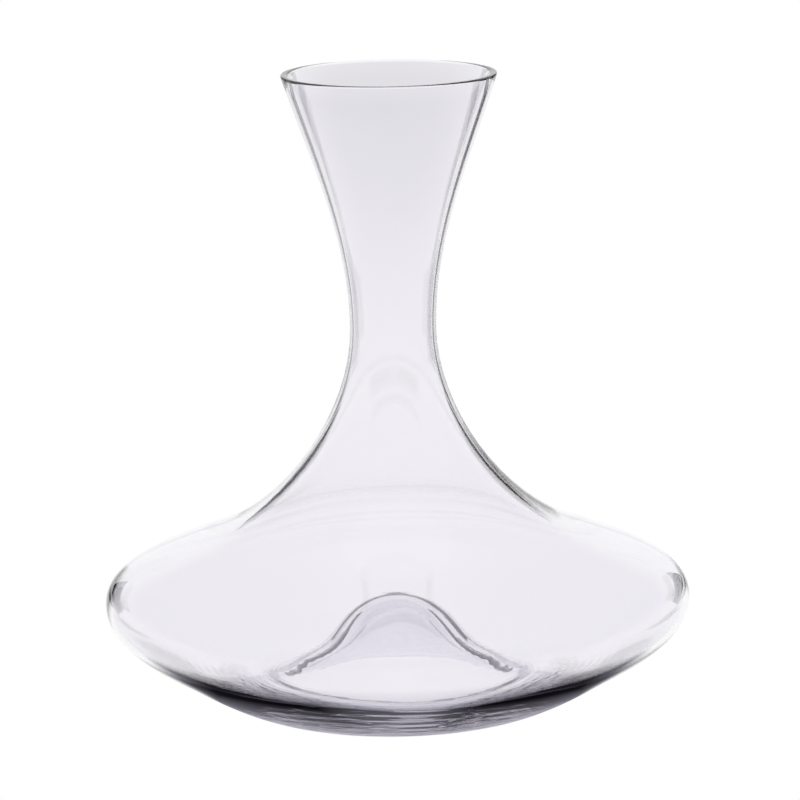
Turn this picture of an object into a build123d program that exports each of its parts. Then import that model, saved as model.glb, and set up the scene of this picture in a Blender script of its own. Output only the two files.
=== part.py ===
from build123d import *
import os
from math import cos, dist, radians, sin, sqrt

os.makedirs("parts", exist_ok=True)

# A wine decanter is one piece of clear glass: a wide flat bowl for the wine, a waisted neck to pour and hold
# it by, and a punt, the cone pushed up into the bowl from below. Every section through the axis is the same,
# so the whole wall is one closed half section turned about Z. The foot's ground ring lies on Z = 0.
# The wall bends round the wine's space, so it is kept as seven zones that meet face to face, each a simple
# ring or cap: mouth, neck, throat, shoulder, bowl_top, bowl_bottom and punt. On the bench it is one glass.

# Outside sizes, in millimetres. Radii are from the axis, heights from the table.
height = 236.0
mouth_radius = 40.0
throat_radius = 16.0
throat_height = 141.0
belly_radius = 110.0
belly_height = 38.0
belly_nose_radius = 12.6
foot_radius = 52.0
foot_ring_width = 5.0

# How far above the throat's narrowest line the mouth's zone starts, and how far below it the throat's ends.
mouth_zone_rise = 49.0
throat_zone_drop = 41.0

# The shoulder is where the neck's hollow curve turns into the bowl's round one, and the bilge is the same
# kind of turn low on the bowl. Each is placed from the belly's widest point, so it moves with the belly.
shoulder_inset = 39.2
shoulder_rise = 23.8
shoulder_slope = 23.1
bilge_inset = 25.9
bilge_drop = 25.1
bilge_slope = 32.4
mouth_flare = 18.5

# Walls, measured square to the outside.
rim_width = 2.6
rim_edge_radius = 0.8
throat_wall = 1.8
shoulder_wall = 2.8
belly_wall = 2.2
bilge_wall = 2.8

# The wall thickens towards the foot: at the bilge the wine's side runs this much flatter than the outside.
bilge_taper = 2.0

# The wine's side of the base: a valley runs round the punt.
valley_radius = 56.0
valley_height = 5.6
punt_height = 36.3
punt_flank_radius = 36.5
punt_flank_height = 16.5
punt_flank_slope = 42.0
punt_wall = 8.0
punt_top_wall = 5.0
punt_skirt_slope = 2.0

# How far each curve keeps to its end's direction, as a share of the straight distance between its ends.
mouth_pull = 0.35
throat_pull_up = 0.35
throat_pull_down = 0.315
shoulder_pull_up = 0.355
shoulder_pull_down = 0.66
bilge_pull_up = 0.46
bilge_pull_down = 0.55
foot_pull = 0.26
valley_pull_out = 0.35
valley_pull_in = 0.45
flank_pull = 0.38
punt_top_pull = 0.4
skirt_pull = 0.35

DOWN = -90.0
INWARDS = 180.0


def ahead(point, angle, distance):
    """The point reached from another by going a distance in a direction, in degrees from +X towards +Z."""
    return (point[0] + distance * cos(radians(angle)), point[1] + distance * sin(radians(angle)))


def bend(start, start_angle, start_pull, end, end_angle, end_pull):
    """One smooth curve between two points, leaving and arriving in the given directions."""
    span = dist(start, end)
    Bezier(start, ahead(start, start_angle, start_pull * span), ahead(end, end_angle, -end_pull * span), end)


def nose_curve(edge, edge_angle, edge_pull, nose, nose_angle, nose_radius):
    """A smooth curve from a point to the belly's nose, which it meets upright and with the nose's radius."""
    handle = ahead(edge, edge_angle, edge_pull * dist(edge, nose))
    nose_pull = sqrt(nose_radius * (nose[0] - handle[0]) * 2 / 3)
    Bezier(edge, handle, ahead(nose, nose_angle, -nose_pull), nose)


# Where the outside turns, from the rim down to the foot, and the direction it goes there.
mouth = (mouth_radius, height)
mouth_angle = DOWN - mouth_flare
throat = (throat_radius, throat_height)
shoulder = (belly_radius - shoulder_inset, belly_height + shoulder_rise)
shoulder_angle = -shoulder_slope
nose = (belly_radius, belly_height)
bilge = (belly_radius - bilge_inset, belly_height - bilge_drop)
bilge_angle = INWARDS + bilge_slope
foot = (foot_radius, 0.0)

# The same turns on the wine's side, one wall's thickness in.
mouth_in = (mouth_radius - rim_width, height)
throat_in = ahead(throat, DOWN - 90, throat_wall)
shoulder_in = ahead(shoulder, shoulder_angle - 90, shoulder_wall)
nose_in = ahead(nose, DOWN - 90, belly_wall)
nose_radius_in = belly_nose_radius - belly_wall
bilge_in = ahead(bilge, bilge_angle - 90, bilge_wall)
bilge_angle_in = bilge_angle - bilge_taper

# The punt, wine's side and air's side.
valley = (valley_radius, valley_height)
flank_angle = INWARDS - punt_flank_slope
flank = (punt_flank_radius, punt_flank_height)
punt_top = (0.0, punt_height)
flank_under = ahead(flank, flank_angle + 90, punt_wall)
punt_top_under = (0.0, punt_height - punt_top_wall)
skirt = (foot_radius - foot_ring_width, 0.0)
skirt_angle = INWARDS - punt_skirt_slope


def outside():
    """The outside of the neck, the bowl and the underside, from the rim to the foot."""
    bend(mouth, mouth_angle, mouth_pull, throat, DOWN, throat_pull_up)
    bend(throat, DOWN, throat_pull_down, shoulder, shoulder_angle, shoulder_pull_up)
    nose_curve(shoulder, shoulder_angle, shoulder_pull_down, nose, DOWN, belly_nose_radius)
    nose_curve(bilge, bilge_angle + 180, bilge_pull_up, nose, -DOWN, belly_nose_radius)
    bend(bilge, bilge_angle, bilge_pull_down, foot, INWARDS, foot_pull)


def wine_side():
    """The surface that the wine touches, from the rim down to the valley and over the punt."""
    bend(mouth_in, mouth_angle, mouth_pull, throat_in, DOWN, throat_pull_up)
    bend(throat_in, DOWN, throat_pull_down, shoulder_in, shoulder_angle, shoulder_pull_up)
    nose_curve(shoulder_in, shoulder_angle, shoulder_pull_down, nose_in, DOWN, nose_radius_in)
    nose_curve(bilge_in, bilge_angle_in + 180, bilge_pull_up, nose_in, -DOWN, nose_radius_in)
    bend(bilge_in, bilge_angle_in, bilge_pull_down, valley, INWARDS, valley_pull_out)
    bend(valley, INWARDS, valley_pull_in, flank, flank_angle, flank_pull)
    bend(flank, flank_angle, flank_pull, punt_top, INWARDS, punt_top_pull)


def air_side_of_punt():
    """The hollow under the bowl, where a thumb goes to pour."""
    bend(skirt, skirt_angle, skirt_pull, flank_under, flank_angle, flank_pull)
    bend(flank_under, flank_angle, flank_pull, punt_top_under, INWARDS, punt_top_pull)


# The zones' own limits, each as (least radius, lowest height, greatest radius, greatest height). The cuts lie
# where the wall turns: at the throat, the shoulder, the belly's widest line and the valley round the punt.
mouth_zone_start = throat_height + mouth_zone_rise
throat_zone_end = throat_height - throat_zone_drop
shoulder_height = belly_height + shoulder_rise
zones = {
    "mouth": (0.0, mouth_zone_start, belly_radius, height),
    "neck": (0.0, throat_height, belly_radius, mouth_zone_start),
    "throat": (0.0, throat_zone_end, belly_radius, throat_height),
    "shoulder": (0.0, shoulder_height, belly_radius, throat_zone_end),
    "bowl_top": (valley_radius, belly_height, belly_radius, shoulder_height),
    "bowl_bottom": (valley_radius, 0.0, belly_radius, belly_height),
    "punt": (0.0, 0.0, valley_radius, shoulder_height),
}

with BuildSketch(Plane.XZ) as half_section:
    with BuildLine() as section_outline:
        outside()
        wine_side()
        air_side_of_punt()
        Line(mouth, mouth_in)
        Line(foot, skirt)
        Line(punt_top, punt_top_under)
    make_face()
    rim_corners = half_section.vertices().group_by(Axis.Z)[-1]
    fillet(rim_corners, rim_edge_radius)


def zone_of_glass(name, least_radius, lowest, greatest_radius, greatest_height):
    """One zone of the wall: what the half section has between the limits, turned about the axis."""
    width = greatest_radius - least_radius
    depth = greatest_height - lowest
    with BuildPart() as zone:
        with BuildSketch(Plane.XZ) as zone_section:
            add(half_section.sketch_local)
            with Locations((least_radius + width / 2, lowest + depth / 2)):
                Rectangle(width, depth, mode=Mode.INTERSECT)
        revolve(axis=Axis.Z)
    zone.part.label = name
    export_step(zone.part, f"parts/{name}.step")
    return zone.part


for name, limits in zones.items():
    zone_of_glass(name, *limits)
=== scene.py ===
# %% [markdown]
# # A wine decanter in clear glass
# The object is one blown wall of glass, with a wide flat bowl, a waisted neck and a punt pushed up from
# below. There is nothing to bolt on, so the whole lesson is about one surface and the light around it. Glass
# shows hardly any colour of its own: it shows bent and mirrored pictures of the room. So the wall has to be
# right on both of its sides, and the room has to have something bright and something dark to show.

# %% Load the frame
import math

import bmesh
import bpy
from mathutils import Matrix, Vector, noise


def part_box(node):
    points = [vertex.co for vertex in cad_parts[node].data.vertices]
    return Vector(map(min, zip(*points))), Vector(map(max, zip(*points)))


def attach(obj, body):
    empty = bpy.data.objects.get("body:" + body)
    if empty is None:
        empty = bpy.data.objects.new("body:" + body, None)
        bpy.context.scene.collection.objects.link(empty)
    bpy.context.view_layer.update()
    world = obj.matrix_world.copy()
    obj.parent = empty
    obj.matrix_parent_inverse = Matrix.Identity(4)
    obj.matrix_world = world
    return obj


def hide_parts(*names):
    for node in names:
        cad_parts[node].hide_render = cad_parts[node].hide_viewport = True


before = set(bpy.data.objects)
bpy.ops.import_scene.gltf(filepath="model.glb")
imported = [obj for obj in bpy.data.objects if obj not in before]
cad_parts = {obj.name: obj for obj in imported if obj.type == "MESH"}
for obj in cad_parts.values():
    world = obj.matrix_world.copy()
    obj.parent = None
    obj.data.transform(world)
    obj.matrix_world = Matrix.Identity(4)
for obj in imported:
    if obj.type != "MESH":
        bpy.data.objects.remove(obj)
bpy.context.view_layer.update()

MM = 0.001

zones = ["mouth", "neck", "throat", "shoulder", "bowl_top", "bowl_bottom", "punt"]
print("CAD zones of the one wall", sorted(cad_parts))

# %% [markdown]
# ## Where the wall turns
# The CAD model keeps the one wall as zones, cut where it turns: at the throat, the shoulder, the belly's
# widest line and the valley round the punt. The boxes of those zones give the height, the levels of the
# throat, shoulder and belly, and the radii of the shoulder, belly and valley. No box gives the other radii,
# the slopes or the walls, so those are stated here.

# %% The outside's turning points
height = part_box("mouth")[1][2]
throat_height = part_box("neck")[0][2]
shoulder_radius, shoulder_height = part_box("shoulder")[1][0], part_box("shoulder")[0][2]
belly_radius, belly_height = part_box("bowl_bottom")[1][0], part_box("bowl_bottom")[1][2]
valley_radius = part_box("punt")[1][0]

mouth_radius = 40.0 * MM
throat_radius = 16.0 * MM
belly_nose_radius = 12.6 * MM
bilge_inset = 25.9 * MM
bilge_drop = 25.1 * MM
foot_radius = 52.0 * MM
foot_ring_width = 5.0 * MM

# Slopes in degrees: how far the wall leans from upright at the mouth, and from level lower down.
mouth_flare = 18.5
shoulder_slope = 23.1
bilge_slope = 32.4
bilge_taper = 2.0

mouth = Vector((mouth_radius, height))
throat = Vector((throat_radius, throat_height))
shoulder = Vector((shoulder_radius, shoulder_height))
nose = Vector((belly_radius, belly_height))
bilge = nose - Vector((bilge_inset, bilge_drop))
foot = Vector((foot_radius, 0.0))
print("height %.1f mm, throat at %.1f mm" % (height / MM, throat_height / MM))
print("belly %.1f mm across" % (2 * belly_radius / MM))

# %% [markdown]
# ## The wine's side
# A blown wall is never one thickness. It is thinnest where it was stretched most, at the throat, and
# thickest in the base, where the glass gathered. That difference is what makes a heavy base look dark and
# streaky and a neck look like a thin line, so each station gets its own wall, measured square to the outside.

# %% Walls and the punt
rim_width = 2.6 * MM
rim_edge = 0.8 * MM
throat_wall = 1.8 * MM
shoulder_wall = 2.8 * MM
belly_wall = 2.2 * MM
bilge_wall = 2.8 * MM
punt_wall = 8.0 * MM
punt_top_wall = 5.0 * MM

valley_height = 5.6 * MM
punt_height = 36.3 * MM
punt_flank_radius = 36.5 * MM
punt_flank_height = 16.5 * MM
punt_flank_slope = 42.0
punt_skirt_slope = 2.0

UP = 90.0
DOWN = -90.0
OUTWARDS = 0.0
INWARDS = 180.0


def ahead(point, angle, distance):
    """The point reached by going a distance in a direction, in degrees from outwards towards up."""
    turn = math.radians(angle)
    return point + distance * Vector((math.cos(turn), math.sin(turn)))


mouth_angle = DOWN - mouth_flare
bilge_angle = INWARDS + bilge_slope
flank_angle = INWARDS - punt_flank_slope

mouth_in = mouth - Vector((rim_width, 0.0))
throat_in = ahead(throat, DOWN - 90, throat_wall)
shoulder_in = ahead(shoulder, -shoulder_slope - 90, shoulder_wall)
nose_in = ahead(nose, DOWN - 90, belly_wall)
bilge_in = ahead(bilge, bilge_angle - 90, bilge_wall)
valley = Vector((valley_radius, valley_height))
punt_top = Vector((0.0, punt_height))
punt_flank = Vector((punt_flank_radius, punt_flank_height))
flank_under = ahead(punt_flank, flank_angle + 90, punt_wall)
punt_top_under = Vector((0.0, punt_height - punt_top_wall))
skirt = foot - Vector((foot_ring_width, 0.0))
print("thinnest wall %.1f mm, thickest %.1f mm" % (throat_wall / MM, punt_wall / MM))

# %% [markdown]
# ## One outline, drawn as a curve
# The section could be a long list of points, but a curve says it better: a few stations, each with two
# handles. A leg is four points, from one station to the next. How long its handles are decides how full the
# stretch between them is. The whole outline goes from the punt's tip on the wine's side, up inside, over
# the rim, down outside, across the foot ring and up under the punt.

# %% Legs of the outline
# How far each leg keeps to its end's direction, as a share of the straight distance between its ends.
ARC_PULL = 0.39
STRAIGHT_PULL = 1 / 3
MOUTH_PULL = 0.35
THROAT_PULL_UP = 0.35
THROAT_PULL_DOWN = 0.315
SHOULDER_PULL_UP = 0.355
SHOULDER_PULL_DOWN = 0.66
BILGE_PULL_UP = 0.46
BILGE_PULL_DOWN = 0.55
FOOT_PULL = 0.26
VALLEY_PULL_OUT = 0.35
VALLEY_PULL_IN = 0.45
FLANK_PULL = 0.38
PUNT_TOP_PULL = 0.4
SKIRT_PULL = 0.35


def leg(start, start_angle, start_pull, end, end_angle, end_pull):
    """One smooth stretch that leaves and arrives in the given directions."""
    span = (end - start).length
    return [start, ahead(start, start_angle, start_pull * span), ahead(end, end_angle, -end_pull * span), end]


def nose_leg(edge, edge_angle, edge_pull, tip, tip_angle, tip_radius):
    """A stretch that meets the belly's nose upright, and with the nose's own radius."""
    handle = ahead(edge, edge_angle, edge_pull * (tip - edge).length)
    tip_pull = math.sqrt(tip_radius * (tip.x - handle.x) * 2 / 3)
    return [edge, handle, ahead(tip, tip_angle, -tip_pull), tip]


def side_of_wall(top, narrow, turn, tip, tip_radius, low, low_angle):
    """The outline from just under the rim to the bilge, on one side of the wall."""
    return [
        leg(top, mouth_angle, MOUTH_PULL, narrow, DOWN, THROAT_PULL_UP),
        leg(narrow, DOWN, THROAT_PULL_DOWN, turn, -shoulder_slope, SHOULDER_PULL_UP),
        nose_leg(turn, -shoulder_slope, SHOULDER_PULL_DOWN, tip, DOWN, tip_radius),
        nose_leg(low, low_angle + 180, BILGE_PULL_UP, tip, UP, tip_radius)[::-1],
    ]


throat_leg = leg(throat, DOWN, THROAT_PULL_DOWN, shoulder, -shoulder_slope, SHOULDER_PULL_UP)
print("a leg is", len(throat_leg), "points")

# %% Put the legs in order
mouth_low = ahead(mouth, mouth_angle, rim_edge)
mouth_in_low = ahead(mouth_in, mouth_angle, rim_edge)
rim_out = mouth - Vector((rim_edge, 0.0))
rim_in = mouth_in + Vector((rim_edge, 0.0))

outside = side_of_wall(mouth_low, throat, shoulder, nose, belly_nose_radius, bilge, bilge_angle)
outside.append(leg(bilge, bilge_angle, BILGE_PULL_DOWN, foot, INWARDS, FOOT_PULL))

low_angle_in = bilge_angle - bilge_taper
wine_side = side_of_wall(
    mouth_in_low, throat_in, shoulder_in, nose_in, belly_nose_radius - belly_wall, bilge_in, low_angle_in
)
wine_side.append(leg(bilge_in, low_angle_in, BILGE_PULL_DOWN, valley, INWARDS, VALLEY_PULL_OUT))
wine_side.append(leg(valley, INWARDS, VALLEY_PULL_IN, punt_flank, flank_angle, FLANK_PULL))
wine_side.append(leg(punt_flank, flank_angle, FLANK_PULL, punt_top, INWARDS, PUNT_TOP_PULL))

rim = [
    leg(mouth_in_low, mouth_angle + 180, ARC_PULL, rim_in, OUTWARDS, ARC_PULL),
    leg(rim_in, OUTWARDS, STRAIGHT_PULL, rim_out, OUTWARDS, STRAIGHT_PULL),
    leg(rim_out, OUTWARDS, ARC_PULL, mouth_low, mouth_angle, ARC_PULL),
]
underneath = [
    leg(foot, INWARDS, STRAIGHT_PULL, skirt, INWARDS, STRAIGHT_PULL),
    leg(skirt, INWARDS - punt_skirt_slope, SKIRT_PULL, flank_under, flank_angle, FLANK_PULL),
    leg(flank_under, flank_angle, FLANK_PULL, punt_top_under, INWARDS, PUNT_TOP_PULL),
]
up_inside = [stretch[::-1] for stretch in reversed(wine_side)]
outline = up_inside + rim + outside + underneath
print("outline of", len(outline), "legs")

# %% Draw the outline as a Bezier curve
POINTS_PER_LEG = 16


def at(point):
    """A point of the outline as a place in the plane that is turned about Z."""
    return (point.x, 0.0, point.y)


curve = bpy.data.curves.new("outline", "CURVE")
curve.dimensions = "3D"
curve.resolution_u = POINTS_PER_LEG
spline = curve.splines.new("BEZIER")
spline.bezier_points.add(len(outline))
for index, stretch in enumerate(outline):
    here, there = spline.bezier_points[index], spline.bezier_points[index + 1]
    here.co, here.handle_right = at(stretch[0]), at(stretch[1])
    there.handle_left, there.co = at(stretch[2]), at(stretch[3])
spline.bezier_points[0].handle_left = at(outline[0][0])
spline.bezier_points[-1].handle_right = at(outline[-1][3])
outline_object = bpy.data.objects.new("outline", curve)
outline_mesh = bpy.data.meshes.new_from_object(outline_object)
print("outline has", len(outline_mesh.vertices), "points")

# %% [markdown]
# ## Turn it
# A glass on the blowpipe is always turning, so it is made here as it is made there: the outline is spun once
# about Z. The first and last points are on the axis, so they are merged into one each, and the normals are
# worked out again on the closed wall, because a ray of light has to know which side of it is glass.

# %% Spin the outline into a wall
SPIN_STEPS = 208
MERGE = 0.001 * MM

wall = bmesh.new()
wall.from_mesh(outline_mesh)
bmesh.ops.spin(
    wall,
    geom=wall.verts[:] + wall.edges[:],
    cent=(0, 0, 0),
    axis=(0, 0, 1),
    angle=math.tau,
    steps=SPIN_STEPS,
    use_merge=True,
)
bmesh.ops.remove_doubles(wall, verts=wall.verts, dist=MERGE)
bmesh.ops.recalc_face_normals(wall, faces=wall.faces)
print("wall has", len(wall.faces), "faces and", round(wall.calc_volume() / MM**3 / 1000), "ml of glass")

# %% [markdown]
# ## The hand in it
# Blown glass is never quite true. The bowl keeps a long, shallow ripple from the mould, and the punt, which
# is pushed up with a tool while the glass is soft, is less even. The ripple moves each side of the wall on
# its own, by a tenth of a millimetre or less on the bowl and up to a quarter on the punt, which is enough to
# bend a reflection.

# %% Ripple
BOWL_RIPPLE = 0.10 * MM
PUNT_RIPPLE = 0.45 * MM
BOWL_WAVE = 45.0 * MM
PUNT_WAVE = 24.0 * MM
FOOT_REST = 3.0 * MM
# The punt's ripple grows inwards from its flank, and is at its fullest from halfway in.
PUNT_RIPPLE_RISE = 2.0

moved = []
for vert in wall.verts:
    from_axis = math.hypot(vert.co.x, vert.co.y)
    over_punt = max(0.0, 1.0 - from_axis / punt_flank.x) if vert.co.z < punt_height + MERGE else 0.0
    lift = min(1.0, vert.co.z / FOOT_REST)
    ripple = BOWL_RIPPLE * noise.noise(vert.co / BOWL_WAVE)
    ripple += PUNT_RIPPLE * min(1.0, PUNT_RIPPLE_RISE * over_punt) * noise.noise(vert.co / PUNT_WAVE)
    moved.append((vert, vert.normal * ripple * lift))
for vert, step in moved:
    vert.co += step
print("largest step %.2f mm" % (max(step.length for vert, step in moved) / MM))

# %% Make the glass an object
vessel_mesh = bpy.data.meshes.new("glass_vessel")
wall.to_mesh(vessel_mesh)
wall.free()
vessel_mesh.shade_smooth()
vessel = bpy.data.objects.new("glass_vessel", vessel_mesh)
bpy.context.scene.collection.objects.link(vessel)
bpy.data.objects.remove(outline_object)
bpy.data.meshes.remove(outline_mesh)
print("glass_vessel has", len(vessel_mesh.polygons), "faces")

# %% [markdown]
# ## Clear glass
# The finish is crystalline glass without lead, blown and fire polished. Fire polishing melts the surface
# until it is as smooth as a liquid, so the roughness is 0. Its index of refraction is a little over window
# glass. Decolourised glass isn't quite neutral: through a thick base it looks faintly lavender, and that
# belongs in the volume, where more glass gives more colour, not on the surface.


# %% Colours and nodes
def linear(hex_colour):
    """An sRGB hex colour as linear red, green, blue and full alpha."""
    parts = [int(hex_colour[i : i + 2], 16) / 255 for i in (1, 3, 5)]
    return [p / 12.92 if p <= 0.04045 else ((p + 0.055) / 1.055) ** 2.4 for p in parts] + [1.0]


def add_node(tree, kind, inputs=None, **settings):
    """Adds a node with its settings. An input is a value, or another node's output to link from."""
    node = tree.nodes.new(kind)
    for name, value in settings.items():
        setattr(node, name, value)
    for name, value in (inputs or {}).items():
        if isinstance(value, bpy.types.NodeSocket):
            tree.links.new(value, node.inputs[name])
        else:
            node.inputs[name].default_value = value
    return node


print("mid grey is %.3f of white in linear light" % linear("#808080")[0])

# %% The glass
GLASS_IOR = 1.54
GLASS_COLOUR = "#F9F8FB"
TINT = "#C8C4CF"
TINT_PER_METRE = 9.0

glass = bpy.data.materials.new("blown_crystalline_glass")
glass.use_nodes = True
tree = glass.node_tree
surface = tree.nodes["Principled BSDF"]
output = tree.nodes["Material Output"]
surface.inputs["Base Color"].default_value = linear(GLASS_COLOUR)
surface.inputs["Roughness"].default_value = 0.0
surface.inputs["IOR"].default_value = GLASS_IOR
surface.inputs["Transmission Weight"].default_value = 1.0
tint = add_node(tree, "ShaderNodeVolumeAbsorption", {"Color": linear(TINT), "Density": TINT_PER_METRE})
tree.links.new(tint.outputs["Volume"], output.inputs["Volume"])
print("glass has an index of", GLASS_IOR)

# %% [markdown]
# ## Rings round the foot
# A bowl that turns in its mould can keep faint rings low down, round the foot. Their spacing and depth are
# judged. They are far too fine for the mesh, so they are a bump. A soft noise lets them drift a
# little, and they fade out round the bilge, because the bowl above it shows none.

# %% Rings as a bump
RING_SPACING = 3.2 * MM
RING_DRIFT = RING_SPACING / 2
RING_DEPTH = 0.010 * MM
RING_WANDER = 60.0 * MM
WANDER_DETAIL = 2.0
RING_TOP = 16.0 * MM
RING_FULL = 8.0 * MM

place = add_node(tree, "ShaderNodeTexCoord").outputs["Object"]
level = add_node(tree, "ShaderNodeSeparateXYZ", {"Vector": place}).outputs["Z"]
flat = add_node(tree, "ShaderNodeVectorMath", {0: place, 1: (1.0, 1.0, 0.0)}, operation="MULTIPLY")
radius = add_node(tree, "ShaderNodeVectorMath", {0: flat.outputs["Vector"]}, operation="LENGTH")
uneven = add_node(
    tree, "ShaderNodeTexNoise", {"Vector": place, "Scale": 1 / RING_WANDER, "Detail": WANDER_DETAIL}
)
drift = add_node(tree, "ShaderNodeMath", {0: uneven.outputs["Fac"], 1: RING_DRIFT}, operation="MULTIPLY")
wandering = add_node(
    tree, "ShaderNodeMath", {0: radius.outputs["Value"], 1: drift.outputs["Value"]}, operation="ADD"
)
turns = add_node(
    tree, "ShaderNodeMath", {0: wandering.outputs["Value"], 1: math.tau / RING_SPACING}, operation="MULTIPLY"
)
ring = add_node(tree, "ShaderNodeMath", {0: turns.outputs["Value"]}, operation="SINE")
low_down = add_node(
    tree, "ShaderNodeMapRange", {"Value": level, "From Min": RING_TOP, "From Max": RING_FULL}
)
masked = add_node(
    tree, "ShaderNodeMath", {0: ring.outputs["Value"], 1: low_down.outputs["Result"]}, operation="MULTIPLY"
)
relief = add_node(
    tree, "ShaderNodeBump", {"Height": masked.outputs["Value"], "Distance": RING_DEPTH, "Strength": 1.0}
)
tree.links.new(relief.outputs["Normal"], surface.inputs["Normal"])
print("rings every %.1f mm" % (RING_SPACING / MM))

# %% Give the vessel its glass and its place in the frame
vessel_mesh.materials.append(glass)
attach(vessel, "root")
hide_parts(*zones)
print("glass is", glass.name)

# %% [markdown]
# ## A bright field
# Clear glass shows best against light. The floor and the room are white, so the thin walls look white, and
# what draws the vessel is the dark at its edges, where the wall bends the view sideways. So a few stage
# pieces are dark. Each is hidden from the camera and shows only through the glass and in it. They keep their
# places when the view changes, so from other sides they show in other parts of the glass.


# %% A white that only gives light
def glowing(name, hex_colour, strength):
    """A material that only gives light, so it looks the same from everywhere."""
    material = bpy.data.materials.new(name)
    material.use_nodes = True
    nodes = material.node_tree
    nodes.nodes.clear()
    light = add_node(nodes, "ShaderNodeEmission", {"Color": linear(hex_colour), "Strength": strength})
    end = add_node(nodes, "ShaderNodeOutputMaterial")
    nodes.links.new(light.outputs["Emission"], end.inputs["Surface"])
    return material


white = glowing("white_floor", "#FFFFFF", 1.0)
print("floor's material is", white.name)

# %% White floor
# It is a hair under the foot, so that glass and floor never share a plane.
FLOOR_HALF = 12.0
FLOOR_DROP = 0.3 * MM


def sheet_on_stage(name, corners, material, hidden=False):
    """A flat stage piece from its corners."""
    mesh = bmesh.new()
    mesh.faces.new([mesh.verts.new(corner) for corner in corners])
    data = bpy.data.meshes.new(name)
    mesh.to_mesh(data)
    mesh.free()
    data.materials.append(material)
    piece = bpy.data.objects.new(name, data)
    bpy.context.scene.collection.objects.link(piece)
    piece.visible_camera = not hidden


floor_corners = [
    (-FLOOR_HALF, -FLOOR_HALF, -FLOOR_DROP),
    (FLOOR_HALF, -FLOOR_HALF, -FLOOR_DROP),
    (FLOOR_HALF, FLOOR_HALF, -FLOOR_DROP),
    (-FLOOR_HALF, FLOOR_HALF, -FLOOR_DROP),
]
sheet_on_stage("floor", floor_corners, white)
print("floor is %.0f m across" % (2 * FLOOR_HALF))

# %% [markdown]
# ## Cards for the neck's edges
# The neck's edges bend the view sideways and down, to the floor behind the vessel and beside it. A dark card
# there turns each edge into a thin dark line. Each side has two wedges, with a gap between them so that a
# diagonal view through the neck stays clear. The right side's are darker, as if light came from the left.

# %% Cards on the floor, on both sides
CARD_LIFT = 1.0 * MM
CARD_NEAR = 0.45
CARD_FAR = 6.0
CARD_LEFT = "#88888E"
CARD_RIGHT = "#303034"
# Where each wedge starts and ends, in degrees from straight behind.
CARD_WEDGES = [("narrow", 28.0, 38.0), ("wide", 52.0, 74.0)]


def card_beside(name, side, first, last, hex_colour):
    """A dark card that lies on the floor behind the vessel, on one side, as a wedge."""
    bearings = [math.radians(first), math.radians(last)]
    near = [(side * CARD_NEAR * math.sin(a), CARD_NEAR * math.cos(a), CARD_LIFT) for a in bearings]
    far = [(side * CARD_FAR * math.sin(a), CARD_FAR * math.cos(a), CARD_LIFT) for a in reversed(bearings)]
    sheet_on_stage(name, near + far, glowing(name, hex_colour, 1.0), hidden=True)


for wedge, first, last in CARD_WEDGES:
    card_beside("card_left_" + wedge, -1, first, last, CARD_LEFT)
    card_beside("card_right_" + wedge, 1, first, last, CARD_RIGHT)
print("cards on the floor:", 2 * len(CARD_WEDGES))

# %% [markdown]
# ## The floor that the glass sees
# The band under the bowl shows the floor just in front of the foot. Painted shade there, to the left and
# right of the middle, makes that band dark with a light centre, and the limit on bounces makes it darker
# still, as the camera's step says. Behind the vessel a painted fall-off of light turns the floor a very pale
# grey, and it comes back to white. One hidden sheet holds both, as ramps by distance, by bearing and by
# depth.

# %% Shade and fall-off
# Places on the first ramp are shares of SHADE_REACH, measured from the axis.
SHADE_REACH = 0.20
SHADE_BY_DISTANCE = [
    (0.26, "#FFFFFF"),
    (0.30, "#C9C7D2"),
    (0.37, "#77747F"),
    (0.42, "#1B191F"),
    (0.52, "#232128"),
    (0.62, "#FFFFFF"),
]
# On the second, 0 is straight in front of the foot, a half is at either side and 1 is straight behind.
SHADE_BY_SIDE = [
    (0.0, "#A9A7B4"),
    (0.010, "#9896A4"),
    (0.04, "#1E1C23"),
    (0.24, "#26242B"),
    (0.34, "#75737C"),
    (0.46, "#FFFFFF"),
]
FALL_OFF_FROM = 0.45
FALL_OFF_TO = 4.5
FALL_OFF_BY_DEPTH = [(0.0, "#FFFFFF"), (0.38, "#E4E3E6"), (1.0, "#FFFFFF")]
print("shade reaches %.0f mm from the axis" % (SHADE_BY_DISTANCE[-1][0] * SHADE_REACH / MM))


# %% Lay the hidden sheet
def ramp_of(tree, factor, stops):
    """A colour ramp with the given stops, driven by another node's output."""
    node = add_node(tree, "ShaderNodeValToRGB", {"Fac": factor})
    elements = node.color_ramp.elements
    elements[0].position, elements[0].color = stops[0][0], linear(stops[0][1])
    elements[1].position, elements[1].color = stops[-1][0], linear(stops[-1][1])
    for place, hex_colour in stops[1:-1]:
        elements.new(place).color = linear(hex_colour)
    return node.outputs["Color"]


# The sheet's colour is painted shade in front of the foot and a painted fall-off of light behind the vessel.
seen = glowing("floor_in_glass", "#FFFFFF", 1.0)
nodes = seen.node_tree
place = add_node(nodes, "ShaderNodeTexCoord").outputs["Object"]
axes = add_node(nodes, "ShaderNodeSeparateXYZ", {"Vector": place})
distance = add_node(nodes, "ShaderNodeVectorMath", {0: place}, operation="LENGTH").outputs["Value"]
near = add_node(nodes, "ShaderNodeMapRange", {"Value": distance, "From Max": SHADE_REACH})
side = add_node(nodes, "ShaderNodeMath", {0: axes.outputs["Y"], 1: distance}, operation="DIVIDE")
round_foot = add_node(nodes, "ShaderNodeMapRange", {"Value": side.outputs["Value"], "From Min": -1.0})
behind = add_node(
    nodes,
    "ShaderNodeMapRange",
    {"Value": axes.outputs["Y"], "From Min": FALL_OFF_FROM, "From Max": FALL_OFF_TO},
)
by_distance = ramp_of(nodes, near.outputs["Result"], SHADE_BY_DISTANCE)
by_side = ramp_of(nodes, round_foot.outputs["Result"], SHADE_BY_SIDE)
by_depth = ramp_of(nodes, behind.outputs["Result"], FALL_OFF_BY_DEPTH)
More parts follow.
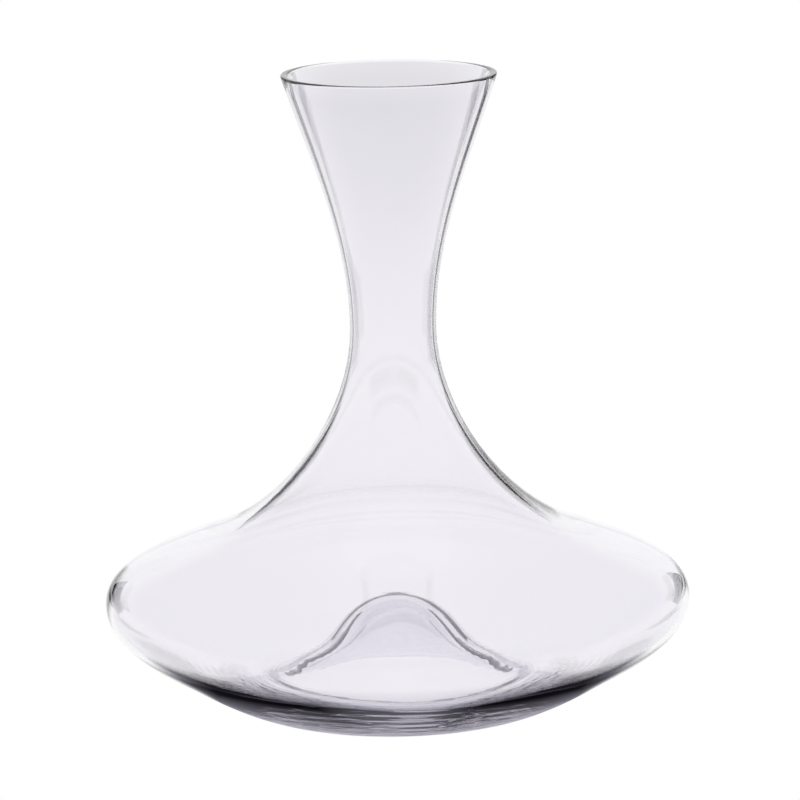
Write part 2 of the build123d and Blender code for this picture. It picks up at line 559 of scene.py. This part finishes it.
lighter = add_node(nodes, "ShaderNodeMixRGB", {"Fac": 1.0, 1: by_distance, 2: by_side}, blend_type="LIGHTEN")
shaded = add_node(
    nodes, "ShaderNodeMixRGB", {"Fac": 1.0, 1: lighter.outputs["Color"], 2: by_depth}, blend_type="MULTIPLY"
)
nodes.links.new(shaded.outputs["Color"], nodes.nodes["Emission"].inputs["Color"])
# Half as far down as the floor, so that the two never share a plane either.
seen_corners = [(x, y, z / 2) for x, y, z in floor_corners]
sheet_on_stage("floor_in_glass", seen_corners, seen, hidden=True)
print("hidden sheet has", len(nodes.nodes), "nodes")

# %% [markdown]
# ## Cards for the shoulder and the punt
# Where the wall leans, a second line shows beside the outline. It is a bent view of what stands low behind
# the vessel, off to each side. An upright dark card there draws that line on the shoulder, and the soft dark
# bands down the flanks of the punt.

# %% Cards behind, low on both sides
BACK_CARD_DISTANCE = 6.0
BACK_CARD_FIRST = math.radians(20.0)
BACK_CARD_LAST = math.radians(42.0)
BACK_CARD_LOW = math.radians(1.0)
BACK_CARD_HIGH = math.radians(12.0)
# The right card is darker than the left: painted shade, as if light came from the left.
BACK_CARD_LEFT = "#38383E"
BACK_CARD_RIGHT = "#18181C"


def card_behind(name, side, hex_colour):
    """An upright dark card far behind the vessel, on one side."""
    bearings = (BACK_CARD_FIRST, BACK_CARD_LAST)
    feet = [(side * BACK_CARD_DISTANCE * math.sin(a), BACK_CARD_DISTANCE * math.cos(a)) for a in bearings]
    low, high = (BACK_CARD_DISTANCE * math.tan(a) for a in (BACK_CARD_LOW, BACK_CARD_HIGH))
    corners = [(*feet[0], low), (*feet[1], low), (*feet[1], high), (*feet[0], high)]
    sheet_on_stage(name, corners, glowing(name, hex_colour, 1.0), hidden=True)


card_behind("card_back_left", -1, BACK_CARD_LEFT)
card_behind("card_back_right", 1, BACK_CARD_RIGHT)
print("back cards stand %.0f m away" % BACK_CARD_DISTANCE)

# %% [markdown]
# ## The room
# The room is white near the horizon, a very pale grey above, and white again overhead, where a softbox would
# be. The small step gives the upper surfaces a faint reflection without a hard shape in it.

# %% White room with a softbox overhead
WHITE_UP_TO = 0.22
GREY_FROM = 0.42
SOFTBOX_EDGE = 0.90
SOFTBOX_FULL = 0.96
CEILING = "#ECEAEF"

world = bpy.data.worlds.new("studio")
bpy.context.scene.world = world
world.use_nodes = True
room = world.node_tree
background = room.nodes["Background"]
direction = add_node(room, "ShaderNodeTexCoord")
axes = add_node(room, "ShaderNodeSeparateXYZ", {"Vector": direction.outputs["Generated"]})
# How bright the room is from the horizon up to straight overhead, as the sine of the elevation.
levels = add_node(room, "ShaderNodeValToRGB", {"Fac": axes.outputs["Z"]})
ramp = levels.color_ramp
ramp.interpolation = "EASE"
ramp.elements[0].position, ramp.elements[0].color = WHITE_UP_TO, linear("#FFFFFF")
ramp.elements[1].position, ramp.elements[1].color = GREY_FROM, linear(CEILING)
for place, hex_colour in ((SOFTBOX_EDGE, CEILING), (SOFTBOX_FULL, "#FFFFFF")):
    ramp.elements.new(place).color = linear(hex_colour)
room.links.new(levels.outputs["Color"], background.inputs["Color"])
background.inputs["Strength"].default_value = 1.0
print("room has", len(ramp.elements), "levels of brightness")

# %% [markdown]
# ## The camera
# It looks down a little on the bowl, through a long lens from well back, so the ellipses of the rim and the
# belly are narrow. Light that goes round inside the thick base takes many bounces, and the limit of 32 cuts
# some of it off. That is a choice of look and not what the glass does: with 64 the dark band under the bowl
# comes out much lighter, and grainy.

# %% Camera
CAMERA_DISTANCE = 1.33
CAMERA_HEIGHT = 0.4076
CAMERA_PITCH = math.radians(12.485)
CAMERA_ROLL = math.radians(0.97)
CAMERA_YAW = 0.0016
LENS = 164.07
SENSOR_WIDTH = 36.0
CLIP_START = 0.05
BOUNCES = 32

camera_data = bpy.data.cameras.new("camera")
camera_data.lens = LENS
camera_data.sensor_width = SENSOR_WIDTH
camera_data.clip_start = CLIP_START
camera = bpy.data.objects.new("camera", camera_data)
bpy.context.scene.collection.objects.link(camera)
camera.location = (0.0, -CAMERA_DISTANCE, CAMERA_HEIGHT)
tilt = Matrix.Rotation(math.radians(90) - CAMERA_PITCH, 3, "X")
camera.rotation_euler = (
    Matrix.Rotation(-CAMERA_YAW, 3, "Z") @ tilt @ Matrix.Rotation(-CAMERA_ROLL, 3, "Z")
).to_euler()
bpy.context.scene.camera = camera

scene = bpy.context.scene
scene.view_settings.view_transform = "Standard"
scene.cycles.max_bounces = BOUNCES
scene.cycles.transmission_bounces = BOUNCES
scene.cycles.glossy_bounces = BOUNCES // 2
scene.cycles.use_denoising = True
print("camera at", tuple(round(c, 3) for c in camera.location))
